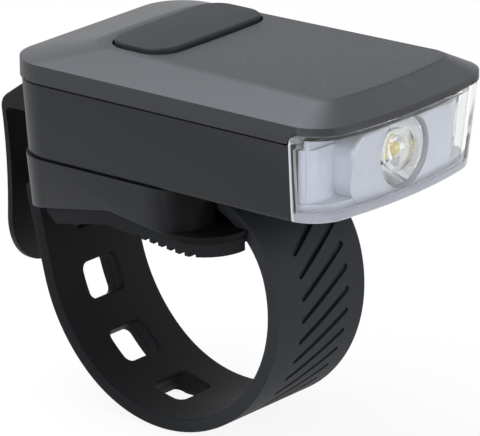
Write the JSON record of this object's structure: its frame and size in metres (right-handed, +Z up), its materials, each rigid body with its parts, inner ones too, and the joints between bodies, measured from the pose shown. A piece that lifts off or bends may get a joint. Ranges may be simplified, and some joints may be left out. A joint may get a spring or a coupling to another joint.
{
  "type": "bike headlight",
  "caption": "Compact bicycle headlight with a wide top button, a clear wrap-round lens and a slotted silicone strap that hooks round the handlebar",
  "frame": {"origin": "centre of the 31.8 mm handlebar that the pad and strap hold", "axes": "+X is the beam direction, +Y runs along the handlebar, +Z is up"},
  "size_m": [0.0714, 0.04, 0.0597],
  "materials": {
    "cover_plastic": "fine spark texture",
    "housing_plastic": "satin moulded",
    "button_rubber": "matte",
    "soft_rubber": "matte",
    "strap_silicone": "satin silicone",
    "seal_rubber": "matte",
    "clear_lens": "clear polished",
    "silver_plastic": "pale silver",
    "reflector_chrome": "vacuum metallised",
    "led_yellow": "phosphor",
    "board_green": "solder mask",
    "board_white": "white solder mask",
    "sink_aluminium": "plain",
    "switch_steel": "plated",
    "switch_plastic": "matte",
    "screw_steel": "zinc plated",
    "pin_steel": "ground",
    "cell_foil": "laminated foil",
    "foam": "open cell foam",
    "lead_red": "insulated wire",
    "lead_black": "insulated wire"
  },
  "bodies": {
    "light": {"top_cover": "cover_plastic", "tact_switch": "switch_steel", "main_board": "board_green", "usb_socket": "switch_steel", "main_housing": "housing_plastic", "cover_seal": "seal_rubber", "front_lens": "clear_lens", "lens_seal": "seal_rubber", "lens_bezel": "silver_plastic", "reflector_cup": "reflector_chrome", "led_optic": "clear_lens", "led_emitter": "led_yellow", "led_board": "board_white", "led_board_screws": "screw_steel", "led_leads": "lead_red", "heat_sink": "sink_aluminium", "battery_cell": "cell_foil", "battery_foam": "foam", "battery_lead_red": "lead_red", "battery_lead_black": "lead_black", "cover_screws": "screw_steel", "board_screws": "screw_steel", "bracket": "housing_plastic", "bracket_screws": "screw_steel", "saddle_pad": "soft_rubber", "strap": "strap_silicone", "strap_pin": "pin_steel"},
    "button": {"power_button": "button_rubber", "switch_plunger": "switch_plastic"},
    "flap": {"port_plug": "soft_rubber"},
    "clip": {"belt_clip": "housing_plastic"}
  },
  "joints": [
    {"name": "button_press", "type": "slide", "parent": "light", "child": "button", "axis": [0, 0, -1], "range_m": [0, 0.0004], "stiffness_N_per_m": 400, "springref_m": -0.0005},
    {"name": "flap_hinge", "type": "hinge", "parent": "light", "child": "flap", "pos_m": [0.004, 0.01902, 0.03185], "axis": [0, 0, -1], "range_deg": [0, 100]},
    {"name": "clip_flex", "type": "hinge", "parent": "light", "child": "clip", "pos_m": [-0.0189, 0, 0.029], "axis": [0, 1, 0], "range_deg": [0, 4], "stiffness_Nm_per_rad": 0.8, "springref_deg": -2.86}
  ]
}
